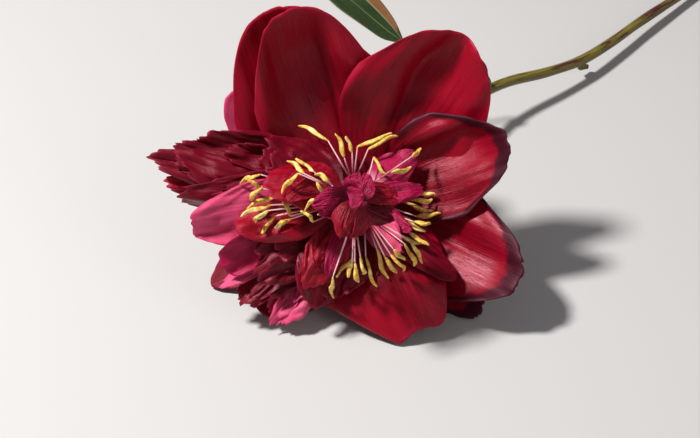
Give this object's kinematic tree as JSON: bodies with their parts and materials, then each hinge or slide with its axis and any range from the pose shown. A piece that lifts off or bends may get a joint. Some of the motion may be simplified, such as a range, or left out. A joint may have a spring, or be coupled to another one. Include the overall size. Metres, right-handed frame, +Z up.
{
  "type": "cut peony",
  "caption": "Cut peony lying on its side: open half-double head of crimson petals with gold stamens, a bent stem and one leaf.",
  "frame": {"origin": "on the surface that the flower lies on, at the middle of its footprint", "axes": "+Z up; the flower's face looks towards -Y and up at 40 degrees; the stem runs back towards +X and +Y"},
  "size_m": [0.2854, 0.2904, 0.1022],
  "materials": {
    "petal_crimson": "soft satin petal, deep crimson with paler streaks",
    "petal_wine": "soft satin petal, dark wine red",
    "petal_magenta": "thin satin petal, magenta red",
    "petal_pink": "thin satin petal, light pink towards the edge",
    "stamen": "matt gold anthers on pale pink filaments",
    "carpel": "downy, pale pink with a curled crimson stigma",
    "calyx": "matt green, flushed red at the edges",
    "stem": "smooth green stem with maroon streaks",
    "leaf": "dark green, satin, paler and browner beneath"
  },
  "bodies": {
    "root": {"bud_scar": "stem", "carpel_left": "carpel", "carpel_right": "carpel", "guard_petal_back_left": "petal_pink", "guard_petal_behind": "petal_crimson", "guard_petal_bottom": "petal_crimson", "guard_petal_right_lower": "petal_wine", "guard_petal_right_upper": "petal_crimson", "guard_petal_top": "petal_crimson", "guard_petal_top_left_front": "petal_crimson", "guard_petal_top_left_rear": "petal_crimson", "guard_petal_under_far_left": "petal_wine", "guard_petal_under_left": "petal_wine", "guard_petal_under_right": "petal_wine", "leaf": "leaf", "petal_left_dark": "petal_wine", "petal_left_long": "petal_magenta", "petal_left_pink": "petal_pink", "petal_left_smooth": "petal_crimson", "petal_left_spoon": "petal_magenta", "petal_left_tip": "petal_crimson", "petal_left_upper": "petal_magenta", "petal_low_broad": "petal_wine", "petal_low_crumpled": "petal_pink", "petal_low_left_dark": "petal_wine", "petal_low_middle": "petal_wine", "petal_low_red": "petal_crimson", "petal_pink_point": "petal_pink", "petal_right_small": "petal_wine", "petaloid_dark": "petal_wine", "petaloid_knot": "petal_magenta", "petaloid_left_point": "petal_crimson", "petaloid_magenta": "petal_magenta", "petaloid_middle_left": "petal_magenta", "petaloid_middle_low": "petal_wine", "petaloid_middle_right": "petal_wine", "petaloid_middle_top": "petal_magenta", "petaloid_pink": "petal_pink", "petaloid_right_fold": "petal_wine", "petaloid_strap_down": "petal_magenta", "petaloid_strap_left": "petal_crimson", "petaloid_strip_low": "petal_magenta", "petaloid_strip_right": "petal_magenta", "petiole": "stem", "receptacle": "calyx", "sepal_lower_left": "calyx", "sepal_right": "calyx", "sepal_upper_left": "calyx", "stamens_bottom": "stamen", "stamens_far_left": "stamen", "stamens_left": "stamen", "stamens_left_inner": "stamen", "stamens_low_left": "stamen", "stamens_middle": "stamen", "stamens_right": "stamen", "stamens_right_lower": "stamen", "stamens_top_left": "stamen", "stamens_top_right": "stamen", "stamens_upper_left": "stamen", "stem": "stem"}
  },
  "joints": []
}
